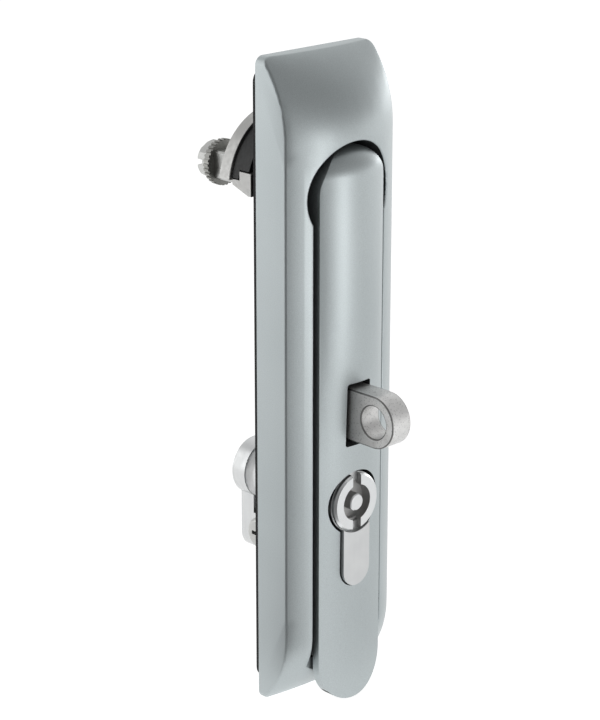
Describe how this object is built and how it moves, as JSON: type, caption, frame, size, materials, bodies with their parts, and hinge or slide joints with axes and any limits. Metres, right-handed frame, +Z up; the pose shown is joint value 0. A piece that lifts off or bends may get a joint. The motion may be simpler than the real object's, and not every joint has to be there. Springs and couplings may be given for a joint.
{
  "type": "swing handle latch",
  "caption": "Cabinet door swing handle: long dish with a hinged lever handle, a quarter-turn square spindle, a profile lock insert with cam, and a padlock eye through the handle.",
  "frame": {"origin": "on the spindle axis, in the plane of the door panel's outer face that the gasket lies on", "axes": "+Z up along the dish, +Y into the door along the spindle, +X to the right seen from the front"},
  "size_m": [0.04, 0.0748, 0.1826],
  "materials": {
    "lacquered_zinc": "satin silver-grey lacquer on die-cast zinc",
    "gasket_rubber": "matt black",
    "sintered_steel": "dull, fine grained",
    "plated_steel": "bright zinc plated",
    "nickel_brass": "satin nickel plated",
    "black_plastic": "moulded, matt black"
  },
  "bodies": {
    "base": {"dish": "lacquered_zinc", "gasket": "gasket_rubber", "pivot_block": "lacquered_zinc", "pivot_oring": "gasket_rubber", "pivot_circlip": "plated_steel", "padlock_eye": "sintered_steel", "eye_screws": "plated_steel", "lock_body": "nickel_brass", "lock_screw": "plated_steel", "stop_plate": "plated_steel", "spindle_bearing": "black_plastic", "hub_screws": "plated_steel", "lower_clamp": "plated_steel", "clamp_washer": "plated_steel", "clamp_screw": "plated_steel"},
    "lever": {"handle": "lacquered_zinc", "cross_pin": "plated_steel", "handle_hook": "plated_steel", "hook_rivets": "plated_steel"},
    "spindle": {"drive_spindle": "plated_steel", "stop_disc": "plated_steel", "tooth_washer": "plated_steel", "spindle_screw": "plated_steel"},
    "plug": {"lock_rotor": "nickel_brass", "key_pin": "nickel_brass", "lock_cam": "nickel_brass"}
  },
  "joints": [
    {"name": "handle_swing", "type": "hinge", "parent": "base", "child": "lever", "pos_m": [0, -0.01365, 0.005], "axis": [-1, 0, 0], "range_deg": [0, 70]},
    {"name": "spindle_turn", "type": "hinge", "parent": "base", "child": "spindle", "pos_m": [0, 0, 0], "axis": [0, -1, 0], "range_deg": [0, 90]},
    {"name": "plug_turn", "type": "hinge", "parent": "base", "child": "plug", "pos_m": [0, 0, -0.0864], "axis": [0, -1, 0], "range_deg": [0, 90]}
  ]
}
